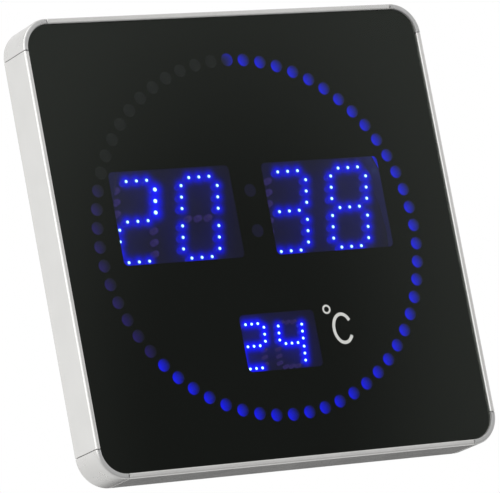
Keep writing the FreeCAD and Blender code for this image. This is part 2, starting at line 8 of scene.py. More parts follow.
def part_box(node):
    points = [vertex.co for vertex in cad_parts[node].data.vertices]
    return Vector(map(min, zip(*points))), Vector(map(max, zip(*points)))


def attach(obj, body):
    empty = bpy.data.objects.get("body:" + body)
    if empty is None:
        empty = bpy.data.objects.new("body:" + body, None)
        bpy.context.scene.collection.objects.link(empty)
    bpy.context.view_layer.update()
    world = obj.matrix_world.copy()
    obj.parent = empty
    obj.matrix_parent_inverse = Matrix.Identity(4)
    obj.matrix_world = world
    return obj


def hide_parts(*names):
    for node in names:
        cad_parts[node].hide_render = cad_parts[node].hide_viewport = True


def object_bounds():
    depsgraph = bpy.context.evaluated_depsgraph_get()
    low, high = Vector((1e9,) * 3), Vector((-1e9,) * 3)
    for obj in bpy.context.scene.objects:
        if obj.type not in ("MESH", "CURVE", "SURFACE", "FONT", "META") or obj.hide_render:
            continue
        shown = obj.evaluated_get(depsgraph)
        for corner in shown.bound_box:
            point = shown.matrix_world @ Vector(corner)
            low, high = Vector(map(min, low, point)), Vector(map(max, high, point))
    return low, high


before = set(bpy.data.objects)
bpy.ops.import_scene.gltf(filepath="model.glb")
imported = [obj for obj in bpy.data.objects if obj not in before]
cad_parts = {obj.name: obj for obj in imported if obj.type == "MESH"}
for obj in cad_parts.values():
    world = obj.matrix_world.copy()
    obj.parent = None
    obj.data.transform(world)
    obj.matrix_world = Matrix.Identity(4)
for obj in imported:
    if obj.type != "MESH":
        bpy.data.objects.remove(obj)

# Square wall clock with blue LED digits behind a glass front in a satin metal frame.
# Metres, X right and Z up as seen from the front, Y into the wall, origin in the middle of the back.

MM = 0.001
scene = bpy.context.scene
cad_low, cad_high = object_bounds()

# Camera of the photograph
photo_width = 500
photo_focal = 4852.2
sensor_width = 36.0
camera_place = Vector((-1508.9, -2456.0, -544.7)) * MM
camera_azimuth = math.radians(-31.652)
camera_elevation = math.radians(-10.667)
camera_roll = math.radians(-10.65)
camera_clip = (0.05, 50)

# Points of a mesh that lie this near each other are one, in the search for solids and in what is shown
solid_weld = 0.001 * MM
shown_weld = 0.0005 * MM

# Faces turned this much to the front or back are flat, and openings as wide as this share are the outline
flat_normal = 0.5
outline_share = 0.9

# Print on both sides of the glass, with windows that are round up to a certain half width
print_depth = 0.02 * MM
window_radius = 4.0 * MM
widest_round = 6.0 * MM
window_sides = 48
window_corner_radius = 3.0 * MM
corner_steps = 8
glass_corner = 19.0 * MM

# What the clock shows, and the digit and segment whose lights are brighter than the rest
leds_per_digit = 21
second_count = 60
seconds_shown = 38
time_digits = (2, 0, 3, 8)
temperature_digits = (2, 4)
bright_segment = (0, "upper_right")

# Domed lenses on a collar: height of the dome, width of the body, top of the collar and start of the body
# as shares of the whole, and a bright core that fades out over its edge
led_sides = 20
dome_rings = 8
dome_share = 0.42
body_share = 0.93
collar_top = 0.16
body_start = 0.18
core_radius = 0.45 * MM
small_core_radius = 0.60 * MM
bright_core_radius = 0.80 * MM
core_edge = 0.75 * MM
core_falloff = 1.5

# Share of its glow that an unlit lens loses towards its edge
unlit_edge_loss = 0.25

# Glare of the lit lenses: grid, depth below their tops, and strength and reach of each kind of light
haze_cell = 0.6 * MM
haze_sink = 0.6 * MM
time_glare = (1.0, 2.9 * MM)
bright_glare = (1.7, 3.5 * MM)
small_glare = (1.6, 2.5 * MM)

# Glow at which the glare ends, its least brightness and what glow adds to it, and how fast it turns dense
haze_floor = 0.008
haze_base = 0.36
haze_gain = 0.5
haze_cover = 4

# Distance, in reaches of a light, at which its glow ends
glow_limit = 3

# Flat lights of the seconds with a round pool of resin, and the share of the unlit glow on their bodies
flat_half_width = 1.6 * MM
flat_half_height = 1.4 * MM
flat_bevel = 0.15 * MM
flat_unlit = 0.5
pool_radius = 1.1 * MM
pool_sides = 16
pool_rise = 0.02 * MM

# Round light tubes behind the windows of the seconds
tube_radius = 4.15 * MM
tube_wall = 0.5 * MM
tube_clearance = 0.25 * MM
tube_sides = 24
tube_rings = 7

# How fast their light falls off to the front, what the top ones lose, and what leaks into the one at 0
tube_falloff = 1.15
tube_top_loss = 0.06
tube_leak = 0.30

# Unlit seconds before this one still get a little painted glow, and the last of them fade over this many
dim_end = 49
dim_span = 1.5

# Width of the broken edges, and the angles from which an edge is broken or its shading is sharp
frame_edge = 0.30 * MM
small_edge = 0.12 * MM
edge_segments = 2
edge_angle = math.radians(32)
sharp_angle = math.radians(35)

# Screws of the rear cover, and how near to their rim a point counts as on it
screw_sides = 32
screw_recess = 0.9 * MM
screw_taper = 1.6 * MM
screw_slope = math.radians(32)
screw_overlap = 0.02 * MM
rim_tolerance = 0.01 * MM
cross_half_length = 1.5 * MM
cross_half_width = 0.35 * MM

# Front face of the main board, and the least sine or cosine that its outline is divided by
board_cell = 2.0 * MM
board_turns = 240
board_skin = 0.03 * MM
least_cosine = 0.01

# Strength and reach of the light that falls on the board from each light of the digits and the seconds
digit_spill = (0.017, 10.0 * MM)
second_spill = (0.5, 7.0 * MM)

# Degree sign and C, middle of each and their outline
degree_middle = (35.0 * MM, -48.7 * MM)
degree_radius = 2.85 * MM
degree_stroke = 1.15 * MM
letter_middle = (44.1 * MM, -61.1 * MM)
letter_half_width = 7.3 * MM
letter_half_height = 9.8 * MM
letter_stroke = 2.0 * MM
letter_opening = math.radians(32)
letter_steps = 60

# Corners of a rectangle in order, as signs of X and Z
CORNERS = ((1, 1), (-1, 1), (-1, -1), (1, -1))

# Segments that each figure lights, by their place in the digit
SEGMENTS = {
    "top": (0, 1),
    "middle": (0, 0),
    "bottom": (0, -1),
    "upper_left": (-1, 0.5),
    "upper_right": (1, 0.5),
    "lower_left": (-1, -0.5),
    "lower_right": (1, -0.5),
}
FIGURES = {
    0: {"top", "bottom", "upper_left", "upper_right", "lower_left", "lower_right"},
    2: {"top", "upper_right", "middle", "lower_left", "bottom"},
    3: {"top", "upper_right", "middle", "lower_right", "bottom"},
    4: {"upper_left", "upper_right", "middle", "lower_right"},
    8: set(SEGMENTS),
}

# Colours of the lights
WHITE_CORE = Vector((1.1, 2.2, 2.8))
NEAR_BLUE = Vector((0.008, 0.014, 0.85))
BODY_BLUE = Vector((0.004, 0.005, 0.42))
# Painted glow of the unlit lenses and the colon, for the stray light of the lit ones that falls on them
UNLIT_PAINTED_GLOW = Vector((0.022, 0.012, 0.110))
UNLIT_COLON_PAINTED_GLOW = Vector((0.003, 0.003, 0.010))
# Painted glow of the board's front skin, for the stray light of the lit LEDs
BOARD_PAINTED_GLOW = Vector((0.0015, 0.0005, 0.014))
HAZE_BLUE = Vector((0.001, 0.001, 1.0))
# Painted glow on the walls of the light tubes, lit and unlit
TUBE_GLOW = Vector((0.001, 0.003, 1.05))
DARK_TUBE_LEAST_GLOW = Vector((0.0004, 0.0004, 0.0010))
DARK_TUBE_GLOW = Vector((0.012, 0.004, 0.105))


# Materials

# Depth behind the front of the lip over which the painted shade on the corners' lip gives way to their own
# colour
lip_shade_depth = (0.15 * MM, 0.40 * MM)

# Share of light that the smoked glass lets through, how far it drifts, and how often in a metre
GLASS_TINT = (0.33, 0.34, 0.33)
tint_drift = 0.015
tint_scale = 9.0

# Strength of the lights, which makes up for the smoked glass
light_strength = 3.0

# Values between which a noise texture mostly stays
noise_low, noise_high = 0.3, 0.7

# Sockets of a Mix node that carry colours
mix_inputs = (6, 7)
mix_output = 2


class Graph:
    """Shader nodes of a material or of the world."""

    def __init__(self, tree):
        self.tree = tree

    def node(self, kind, **inputs):
        made = self.tree.nodes.new("ShaderNode" + kind)
        for socket, value in inputs.items():
            made.inputs[socket.replace("_", " ")].default_value = value
        return made

    def join(self, source, target):
        self.tree.links.new(source, target)

    def ramp(self, fac, *stops):
        made = self.node("ValToRGB")
        elements = made.color_ramp.elements
        while len(elements) < len(stops):
            elements.new(0.5)  # its place follows
        for element, (position, colour) in zip(elements, stops):
            element.position = position
            element.color = (*colour, 1)
        self.join(fac, made.inputs["Fac"])
        return made.outputs["Color"]

    def mix(self, factor, first, second):
        made = self.node("Mix")
        made.data_type = "RGBA"
        self.join(factor, made.inputs["Factor"])
        for socket, colour in zip(mix_inputs, (first, second)):
            if isinstance(colour, tuple):
                made.inputs[socket].default_value = (*colour, 1)
            else:
                self.join(colour, made.inputs[socket])
        return made.outputs[mix_output]

    def vector(self, operation, first, second=None):
        made = self.node("VectorMath")
        made.operation = operation
        self.join(first, made.inputs[0])
        if second is not None:
            made.inputs[1].default_value = second
        return made


class Paint(Graph):
    """A node material around one Principled shader."""

    def __init__(self, name, **values):
        self.material = bpy.data.materials.new(name)
        self.material.use_nodes = True
        super().__init__(self.material.node_tree)
        self.shader = self.tree.nodes["Principled BSDF"]
        for socket, value in values.items():
            self.shader.inputs[socket.replace("_", " ")].default_value = value

    def noise(self, scale, detail=3.0, stretch=(1, 1, 1)):
        """Noise in the object's own coordinates, so many cells to the metre."""
        place = self.node("TexCoord")
        mapping = self.node("Mapping", Scale=stretch)
        grain = self.node("TexNoise", Scale=scale, Detail=detail)
        self.join(place.outputs["Object"], mapping.inputs["Vector"])
        self.join(mapping.outputs["Vector"], grain.inputs["Vector"])
        return grain.outputs["Fac"]

    def drift(self, fac, dark, light):
        """Colour that a noise turns from dark to light."""
        return self.ramp(fac, (noise_low, dark), (noise_high, light))

    def spread(self, fac, low, high):
        """Number that a noise moves from low to high."""
        made = self.node("MapRange", From_Min=noise_low, From_Max=noise_high, To_Min=low, To_Max=high)
        self.join(fac, made.inputs["Value"])
        return made.outputs["Result"]

    def behind_lip(self):
        """0 on the flat front of the lip, which gets a painted shade on the corners, and 1 on the walls
        behind it.
        """
        parts = self.node("SeparateXYZ")
        self.join(self.node("TexCoord").outputs["Object"], parts.inputs[0])
        depth = self.node("MapRange", From_Min=cad_low.y + lip_shade_depth[0], From_Max=cad_low.y + lip_shade_depth[1])
        self.join(parts.outputs["Y"], depth.inputs["Value"])
        return depth.outputs["Result"]

    def relief(self, height, depth):
        bump = self.node("Bump", Distance=depth)
        self.join(height, bump.inputs["Height"])
        self.join(bump.outputs["Normal"], self.shader.inputs["Normal"])


def grey(value):
    return (value, value, value)


def mottled(name, dark, light, rough, patch_scale, grain_scale, grain_depth, stretch=(1, 1, 1), lip=None,
            **values):
    """Surface whose colour and gloss drift a little and that has a fine grain, and maybe a painted shade on
    its lip.
    """
    paint = Paint(name, **values)
    patches = paint.noise(patch_scale)
    colour = paint.drift(patches, dark, light)
    # Painted shade: a darker colour on the front of the lip stands for the darker reflection there
    if lip:
        colour = paint.mix(paint.behind_lip(), paint.drift(patches, *lip), colour)
    paint.join(colour, paint.shader.inputs["Base Color"])
    paint.join(paint.spread(patches, *rough), paint.shader.inputs["Roughness"])
    paint.relief(paint.noise(grain_scale, stretch=stretch), grain_depth)
    return paint.material


# Values of the mottled surfaces, with so many patches and grains to the metre
SURFACES = {
    "satin_aluminium": dict(dark=(0.69, 0.685, 0.67), light=(0.72, 0.715, 0.70), rough=(0.20, 0.25),
                            patch_scale=60, grain_scale=2500, grain_depth=0.003 * MM, Metallic=0.75),
    "silver_corner": dict(dark=(0.67, 0.665, 0.65), light=(0.70, 0.695, 0.68), rough=(0.26, 0.30),
                          patch_scale=80, grain_scale=2000, grain_depth=0.001 * MM, Metallic=0.70,
                          # Painted shade on the corners' front lip, for the darker reflection it shows
                          lip=((0.50, 0.50, 0.495), (0.53, 0.53, 0.525))),
    "zinc_steel": dict(dark=grey(0.50), light=grey(0.58), rough=(0.30, 0.38),
                       patch_scale=900, grain_scale=4000, grain_depth=0.005 * MM, Metallic=1.0),
    "screw_steel": dict(dark=grey(0.10), light=grey(0.14), rough=(0.30, 0.42),
                        patch_scale=900, grain_scale=4000, grain_depth=0.01 * MM, Metallic=1.0),
    "foam": dict(dark=grey(0.020), light=grey(0.035), rough=(0.85, 0.95),
                 patch_scale=700, grain_scale=3000, grain_depth=0.1 * MM),
    "circuit_board": dict(dark=(0.004, 0.006, 0.005), light=(0.007, 0.010, 0.009), rough=(0.30, 0.45),
                          patch_scale=200, grain_scale=1500, grain_depth=0.01 * MM),
    "chip_black": dict(dark=grey(0.012), light=grey(0.020), rough=(0.55, 0.65),
                       patch_scale=900, grain_scale=5000, grain_depth=0.01 * MM),
    "can_metal": dict(dark=grey(0.60), light=grey(0.70), rough=(0.25, 0.35),
                      patch_scale=300, grain_scale=3000, grain_depth=0.005 * MM, Metallic=1.0),
    "ferrite": dict(dark=grey(0.025), light=grey(0.045), rough=(0.50, 0.70),
                    patch_scale=500, grain_scale=2500, grain_depth=0.02 * MM),
    "copper_winding": dict(dark=(0.42, 0.14, 0.05), light=(0.60, 0.24, 0.10), rough=(0.25, 0.4),
                           patch_scale=900, grain_scale=900, grain_depth=0.1 * MM,
                           stretch=(4, 0.1, 0.1), Metallic=1.0),
    "cover_plastic": dict(dark=grey(0.014), light=grey(0.020), rough=(0.46, 0.49),
                          patch_scale=70, grain_scale=1400, grain_depth=0.03 * MM),
    "button_plastic": dict(dark=grey(0.045), light=grey(0.060), rough=(0.38, 0.46),
                           patch_scale=300, grain_scale=2500, grain_depth=0.01 * MM),
    "dark_plastic": dict(dark=grey(0.010), light=grey(0.016), rough=(0.28, 0.36),
                         patch_scale=300, grain_scale=2500, grain_depth=0.005 * MM),
    "contact_metal": dict(dark=(0.66, 0.64, 0.60), light=(0.70, 0.68, 0.64), rough=(0.24, 0.27),
                          patch_scale=200, grain_scale=3000, grain_depth=0.001 * MM, Metallic=1.0),
    # The light shield's faint blue emission is painted light from the LEDs that falls on it
    "shield_plastic_painted_glow": dict(dark=grey(0.010), light=grey(0.016), rough=(0.40, 0.50),
                           patch_scale=300, grain_scale=2500, grain_depth=0.005 * MM,
                           Emission_Color=(0.003, 0.002, 0.040, 1), Emission_Strength=light_strength),
    "black_print": dict(dark=(0.0010, 0.0014, 0.0012), light=(0.0014, 0.0019, 0.0016), rough=(0.60, 0.70),
                        patch_scale=40, grain_scale=900, grain_depth=0.001 * MM, Specular_IOR_Level=0.0),
    "silver_print": dict(dark=(0.56, 0.56, 0.54), light=(0.64, 0.64, 0.61), rough=(0.4, 0.5),
                         patch_scale=600, grain_scale=4000, grain_depth=0.002 * MM),
}


def clear_glass():
    """Flat smoked glass whose tint drifts faintly."""
    paint = Paint("clear_glass", Roughness=0.0, IOR=1.45, Transmission_Weight=1.0,
                  Specular_Tint=(0.90, 1.0, 0.88, 1))
    tint = Vector(GLASS_TINT)
    tone = paint.drift(paint.noise(tint_scale, detail=1.0), tuple(tint * (1 - tint_drift)),
                       tuple(tint * (1 + tint_drift)))
    paint.join(tone, paint.shader.inputs["Base Color"])
    return paint.material


def light_paint(name, base, see_through=False, **values):
    """Glowing surface whose light, and how much it covers, come from the mesh's own attribute."""
    paint = Paint(name, Base_Color=(*base, 1), Emission_Strength=light_strength, **values)
    hue = paint.node("Attribute")
    hue.attribute_name = "light"
    paint.join(hue.outputs["Color"], paint.shader.inputs["Emission Color"])
    if see_through:
        paint.join(hue.outputs["Alpha"], paint.shader.inputs["Alpha"])
    paint.material.cycles.emission_sampling = "NONE"
    return paint.material


# Meshes


def finish_piece(name, bm, material, replaced=()):
    """Turns a bmesh, which is used up, into a piece of the clock."""
    mesh = bpy.data.meshes.new(name)
    bm.normal_update()
    bm.to_mesh(mesh)
    bm.free()
    mesh.shade_smooth()
    mesh.set_sharp_from_angle(angle=sharp_angle)
    made = bpy.data.objects.new(name, mesh)
    scene.collection.objects.link(made)
    mesh.materials.append(material)
    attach(made, "clock")
    if replaced:
        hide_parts(*replaced)
    return made


def set_light(made, colours, covers=None):
    """Writes a light colour, and how much it covers, for each point of the mesh."""
    attribute = made.data.attributes.new("light", "FLOAT_COLOR", "POINT")
    covers = covers or [1.0] * len(colours)
    attribute.data.foreach_set("color", [part for colour, cover in zip(colours, covers)
                                         for part in (*colour, cover)])


def welded(node):
    bm = bmesh.new()
    bm.from_mesh(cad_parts[node].data)
    bmesh.ops.remove_doubles(bm, verts=bm.verts, dist=solid_weld)
    return bm


def island_boxes(bm):
    """Boxes (low, high) of the separate pieces of a bmesh, which is used up."""
    seen, boxes = set(), []
    for start in bm.verts:
        if start in seen:
            continue
        seen.add(start)
        island, waiting = [], [start]
        while waiting:
            vert = waiting.pop()
            island.append(vert.co)
            for edge in vert.link_edges:
                other = edge.other_vert(vert)
                if other not in seen:
                    seen.add(other)
                    waiting.append(other)
        low = Vector(min(co[axis] for co in island) for axis in range(3))
        high = Vector(max(co[axis] for co in island) for axis in range(3))
        boxes.append((low, high))
    bm.free()
    return boxes


def solids_of(node):
    return island_boxes(welded(node))


def opening_boxes(node):
    """Boxes of the openings through a flat node, found from their walls."""
    bm = welded(node)
    bm.normal_update()
    flats = [face for face in bm.faces if abs(face.normal.y) > flat_normal]
    bmesh.ops.delete(bm, geom=flats, context="FACES")
    boxes = island_boxes(bm)
    low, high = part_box(node)
    return [(a, b) for a, b in boxes if b.x - a.x < outline_share * (high.x - low.x)]


def middles_of(node):
    return [(low + high) / 2 for low, high in solids_of(node)]


def circle(x, z, radius, sides):
    turns = [2 * math.pi * side / sides for side in range(sides)]
    return [(x + radius * math.cos(turn), z + radius * math.sin(turn)) for turn in turns]


def rounded_rectangle(x, z, half_x, half_z, radius):
    points = []
    for corner, (side_x, side_z) in enumerate(CORNERS):
        for step in range(corner_steps + 1):
            turn = math.pi / 2 * (corner + step / corner_steps)
            points.append((x + side_x * (half_x - radius) + radius * math.cos(turn),
                           z + side_z * (half_z - radius) + radius * math.sin(turn)))
    return points


def sheet_with_holes(outlines, y_front, y_back):
    """Flat sheet of the first outline with the others cut out of it, as a bmesh."""
    curve = bpy.data.curves.new("outline", "CURVE")
    curve.dimensions = "2D"
    curve.fill_mode = "BOTH"
    curve.extrude = (y_back - y_front) / 2
    for outline in outlines:
        spline = curve.splines.new("POLY")
        spline.points.add(len(outline) - 1)
        for point, (x, z) in zip(spline.points, outline):
            point.co = (x, z, 0, 1)
        spline.use_cyclic_u = True
    holder = bpy.data.objects.new("outline", curve)
    mesh = bpy.data.meshes.new_from_object(holder)
    upright = Matrix.Rotation(math.pi / 2, 4, "X")
    mesh.transform(Matrix.Translation((0, (y_front + y_back) / 2, 0)) @ upright)
    bm = bmesh.new()
    bm.from_mesh(mesh)
    bmesh.ops.remove_doubles(bm, verts=bm.verts, dist=shown_weld)
    bmesh.ops.recalc_face_normals(bm, faces=bm.faces)
    bpy.data.objects.remove(holder)
    bpy.data.curves.remove(curve)
    bpy.data.meshes.remove(mesh)
    return bm


def round_points(bm, middle, radius, y, sides):
    """New points round an axis along Y, or the one point on it where the radius is 0."""
    places = circle(middle.x, middle.z, radius, sides) if radius else [(middle.x, middle.z)]
    return [bm.verts.new((x, y, z)) for x, z in places]


def bridge(bm, first, second):
    """Faces between two rings of points, of which one may be a single point."""
    sides = max(len(first), len(second))
    for side in range(sides):
        after = (side + 1) % sides
        corners = [first[side % len(first)], first[after % len(first)],
                   second[after % len(second)], second[side % len(second)]]
        bm.faces.new(list(dict.fromkeys(corners)))


def turned_profile(bm, middle, profile, sides):
    """Closed body of revolution about an axis along Y; profile is (radius, y) pairs, axis to axis."""
    rings = [round_points(bm, middle, radius, y, sides) for radius, y in profile]
    for first, second in zip(rings, rings[1:]):
        bridge(bm, first, second)
    return rings


# Lights


def digit_groups(node):
    """LED middles of each digit, from left to right."""
    middles = sorted(middles_of(node), key=lambda middle: middle.x)
    return [middles[start:start + leds_per_digit] for start in range(0, len(middles), leds_per_digit)]


def segment_at(digit, place):
    """Name of the digit's segment that a light belongs to."""
    xs = [middle.x for middle in digit]
    zs = [middle.z for middle in digit]
    centre_x, half_x = (max(xs) + min(xs)) / 2, (max(xs) - min(xs)) / 2
    centre_z, half_z = (max(zs) + min(zs)) / 2, (max(zs) - min(zs)) / 2

    def distance(name):
        column, row = SEGMENTS[name]
        return math.hypot(place.x - centre_x - column * half_x, place.z - centre_z - row * half_z)

    return min(SEGMENTS, key=distance)


def digit_lights(node, figures):
    """Every LED of a node as (middle, lit)."""
    lights = []
    for digit, figure in zip(digit_groups(node), figures):
        for place in digit:
            lights.append((place, segment_at(digit, place) in FIGURES[figure]))
    return lights


def bright_places(node):
    """Middles of the lights in the one segment that shines brighter than the rest."""
    number, segment = bright_segment
    digit = digit_groups(node)[number]
    return [place for place in digit if segment_at(digit, place) == segment]


def second_of(middle):
    """Number of the second that a light of the ring stands for."""
    return round(math.atan2(middle.x, middle.z) / (2 * math.pi) * second_count) % second_count


def ring_lights():
    """Every light of the ring as (middle, lit), of which the one at the top is out."""
    return [(middle, 1 <= second_of(middle) <= seconds_shown) for middle in middles_of("second_leds")]


def clamped(value):
    return min(1.0, max(0.0, value))


def lens_light(reach, radius, core_reach, lit, unlit_glow):
    """Colour of a lens at a distance from its axis, with a painted glow on an unlit one."""
    rim = reach / radius
    if not lit:
        return unlit_glow * (1 - unlit_edge_loss * rim)
    core = clamped((core_reach + core_edge - reach) / core_edge)
    return WHITE_CORE * core ** core_falloff + (NEAR_BLUE * (1 - rim) + BODY_BLUE * rim) * (1 - core)


def domed_leds(name, node, lights, material, core_reach, unlit_glow=UNLIT_PAINTED_GLOW, brighter=()):
    """Lenses with a collar, a straight side and a domed top, each standing on the board."""
    low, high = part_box(node)
    box_low, box_high = solids_of(node)[0]
    collar = (box_high.z - box_low.z) / 2
    body = collar * body_share
    y_board, tall = high.y, high.y - low.y
    straight = tall * (1 - dome_share)
    profile = [(0, y_board), (collar, y_board), (collar, y_board - collar_top * tall),
               (body, y_board - body_start * tall)]
    for ring in range(dome_rings):
        turn = math.pi / 2 * ring / dome_rings
        profile.append((body * math.cos(turn), y_board - straight - (tall - straight) * math.sin(turn)))
    profile.append((0, y_board - tall))
    bm = bmesh.new()
    colours = []
    for middle, lit in lights:
        core = bright_core_radius if middle in brighter else core_reach
        side_colour = BODY_BLUE if lit else unlit_glow * (1 - unlit_edge_loss)
        for (reach, y), ring in zip(profile, turned_profile(bm, middle, profile, led_sides)):
            on_side = y > y_board - straight
            colour = side_colour if on_side else lens_light(reach, body, core, lit, unlit_glow)
            colours += [colour] * len(ring)
    made = finish_piece(name, bm, material, [node])
    set_light(made, colours)


def glow_at(x, z, sources):
    """Light at a point, summed over the lit LEDs near it."""
    total = 0.0
    for source, strength, reach in sources:
        squared = ((x - source.x) ** 2 + (z - source.z) ** 2) / reach ** 2
        if squared < glow_limit ** 2:
            total += strength * math.exp(-squared)
    return total


def haze_film(name, node, sources, material):
    """Glare that each lit lens spreads round its top, as one thin film with soft edges."""
    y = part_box(node)[0].y + haze_sink
    margin = glow_limit * max(reach for _, _, reach in sources)
    xs = [middle.x for middle, _, _ in sources]
    zs = [middle.z for middle, _, _ in sources]
    x_low, z_low = min(xs) - margin, min(zs) - margin
    columns = math.ceil((max(xs) + margin - x_low) / haze_cell)
    rows = math.ceil((max(zs) + margin - z_low) / haze_cell)
    glow = {}
    for column in range(columns + 1):
        x = x_low + column * haze_cell
        near = [source for source in sources if abs(source[0].x - x) < margin]
        for row in range(rows + 1):
            glow[column, row] = glow_at(x, z_low + row * haze_cell, near)
    bm = bmesh.new()
    verts, colours, covers = {}, [], []

    def corner(place):
        if place not in verts:
            column, row = place
            verts[place] = bm.verts.new((x_low + column * haze_cell, y, z_low + row * haze_cell))
            colours.append(HAZE_BLUE * (haze_base + haze_gain * glow[place]))
            covers.append(1 - math.exp(-haze_cover * glow[place]))
        return verts[place]

    for column in range(columns):
        for row in range(rows):
            places = [(column, row), (column + 1, row), (column + 1, row + 1), (column, row + 1)]
            if max(glow[place] for place in places) > haze_floor:
                bm.faces.new([corner(place) for place in places])
    made = finish_piece(name, bm, material)
    set_light(made, colours, covers)


def second_lights(lights, material):
    """Flat surface-mounted LEDs with a round pool of clear resin."""
    low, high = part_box("second_leds")
    bm = bmesh.new()
    colours = []
    for middle, lit in lights:
        turn = Matrix.Rotation(math.atan2(middle.x, middle.z), 4, "Y")
        put = Matrix.Translation((middle.x, 0, middle.z)) @ turn
        rings = []
        for inset, y in ((0, high.y), (0, low.y + flat_bevel), (flat_bevel, low.y)):
            half_x, half_z = flat_half_width - inset, flat_half_height - inset
            rings.append([bm.verts.new(put @ Vector((side_x * half_x, y, side_z * half_z)))
                          for side_x, side_z in CORNERS])
            colours += [BODY_BLUE if lit else UNLIT_PAINTED_GLOW * flat_unlit] * len(CORNERS)
        for first, second in zip(rings, rings[1:]):
            bridge(bm, first, second)
        bm.faces.new(rings[-1])
        bm.faces.new(rings[0][::-1])
        y_pool = low.y - pool_rise
        pool = [bm.verts.new(put @ Vector((x, y_pool, z)))
                for x, z in circle(0, 0, pool_radius, pool_sides)]
        colours += [NEAR_BLUE if lit else UNLIT_PAINTED_GLOW] * len(pool)
        top = bm.verts.new(put @ Vector((0, y_pool, 0)))
        colours.append(WHITE_CORE if lit else UNLIT_PAINTED_GLOW)
        bridge(bm, pool, [top])
    made = finish_piece("second_led_bodies", bm, material, ["second_leds"])
    set_light(made, colours)


def light_tubes(lights, material):
    """Milky tubes that lead the light of each second from the board to its window, with that light painted
    on their walls as a glow.
    """
    y_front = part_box("window_mask")[1].y + tube_clearance
    y_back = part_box("main_board")[0].y - tube_clearance
    shares = [ring / (tube_rings - 1) for ring in range(tube_rings)]
    rows = [(tube_radius, share) for share in shares]
    rows += [(tube_radius + tube_wall, share) for share in reversed(shares)]
    bm = bmesh.new()
    colours = []
    for middle, lit in lights:
        index = second_of(middle)
        fade = clamped((dim_end - index) / dim_span)
        height = math.cos(math.atan2(middle.x, middle.z))
        rings = []
        for radius, share in rows:
            rings.append(round_points(bm, middle, radius, y_front + (y_back - y_front) * share, tube_sides))
            if lit:
                colour = TUBE_GLOW * share ** tube_falloff * (1 - tube_top_loss * (1 + height))
            elif index == 0:
                colour = DARK_TUBE_LEAST_GLOW + TUBE_GLOW * tube_leak * (1 - share) ** 2
            else:
                colour = DARK_TUBE_LEAST_GLOW + DARK_TUBE_GLOW * share * fade
            colours += [colour] * tube_sides
        for first, second in zip(rings, rings[1:] + rings[:1]):
            bridge(bm, first, second)
    bmesh.ops.recalc_face_normals(bm, faces=bm.faces)
    made = finish_piece("second_light_tubes", bm, material)
    set_light(made, colours)


def board_face(digits, seconds, material):
    """Front skin of the main board, with a painted glow inside the light shield and painted light from the
    seconds outside it.
    """
    low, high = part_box("main_board")
    y = low.y - board_skin
    diagonal = max(abs(vert.co.x) + abs(vert.co.z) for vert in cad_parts["main_board"].data.vertices)
    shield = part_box("light_shield")[1].x
    inner = [(middle, *digit_spill) for middle, lit in digits if lit]
    outer = [(middle, *second_spill) for middle, lit in seconds if lit]
    bm = bmesh.new()
    before = [bm.verts.new((0, y, 0))]
    colours = [BOARD_PAINTED_GLOW]
    rings = int(high.x / board_cell)
    for ring in range(1, rings + 1):
        verts = []
        for side in range(board_turns):
            turn = 2 * math.pi * side / board_turns
            cosine, sine = abs(math.cos(turn)), abs(math.sin(turn))
            edge = min(high.x / max(cosine, least_cosine), high.z / max(sine, least_cosine),
                       diagonal / (cosine + sine))
            reach = (edge - board_skin) * ring / rings
            x, z = reach * math.cos(turn), reach * math.sin(turn)
            verts.append(bm.verts.new((x, y, z)))
            colours.append(BOARD_PAINTED_GLOW + HAZE_BLUE * glow_at(x, z, inner if reach < shield else outer))
        bridge(bm, before, verts)
        before = verts
    bmesh.ops.recalc_face_normals(bm, faces=bm.faces)
    made = finish_piece("board_face", bm, material)
    set_light(made, colours)


# Print on both sides of the glass


def window_print(material):
    """Black print with its windows, which reaches a little into the back of the glass."""
    low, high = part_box("window_mask")
    half = high.x
    inset = cad_high.x - half
    outlines = [rounded_rectangle(0, 0, half, half, glass_corner - inset)]
    for corner, opposite in opening_boxes("window_mask"):
        middle = (corner + opposite) / 2
        half_x, half_z = (opposite.x - corner.x) / 2, (opposite.z - corner.z) / 2
        if half_x < widest_round:
            outlines.append(circle(middle.x, middle.z, window_radius, window_sides))
        else:
            outlines.append(rounded_rectangle(middle.x, middle.z, half_x, half_z, window_corner_radius))
    bm = sheet_with_holes(outlines, low.y - print_depth, high.y)
    finish_piece("window_print", bm, material, ["window_mask"])


def stroke(bm, inner, outer, y_front, y_back, closed):
    """Flat band between two rows of points, with its edges closed."""
    layers = []
    for row in (inner, outer):
        for y in (y_front, y_back):
            layers.append([bm.verts.new((x, y, z)) for x, z in row])
    inner_front, inner_back, outer_front, outer_back = layers
    count = len(inner)
    for index in range(count if closed else count - 1):
        after = (index + 1) % count
        for first, second in ((inner_front, outer_front), (outer_front, outer_back),
                              (outer_back, inner_back), (inner_back, inner_front)):
            bm.faces.new((first[index], first[after], second[after], second[index]))
    if not closed:
        for index in (0, count - 1):
            bm.faces.new([layer[index] for layer in (inner_front, outer_front, outer_back, inner_back)])
    bmesh.ops.recalc_face_normals(bm, faces=bm.faces)


def degree_c_sign(material):
    """Degree sign and letter on the front of the glass."""
    y_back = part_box("front_glass")[0].y
    y_front = y_back - print_depth
    bm = bmesh.new()
    stroke(bm, circle(*degree_middle, degree_radius - degree_stroke, window_sides),
           circle(*degree_middle, degree_radius, window_sides), y_front, y_back, True)
    finish_piece("degree_ring", bm, material)
    x, z = letter_middle
    rows = ([], [])
    for step in range(letter_steps + 1):
        turn = letter_opening + (2 * math.pi - 2 * letter_opening) * step / letter_steps
        for row, inset in zip(rows, (letter_stroke, 0)):
            row.append((x + (letter_half_width - inset) * math.cos(turn),
                        z + (letter_half_height - inset) * math.sin(turn)))
    bm = bmesh.new()
    stroke(bm, *rows, y_front, y_back, False)
    finish_piece("letter_c", bm, material)


# Rear cover


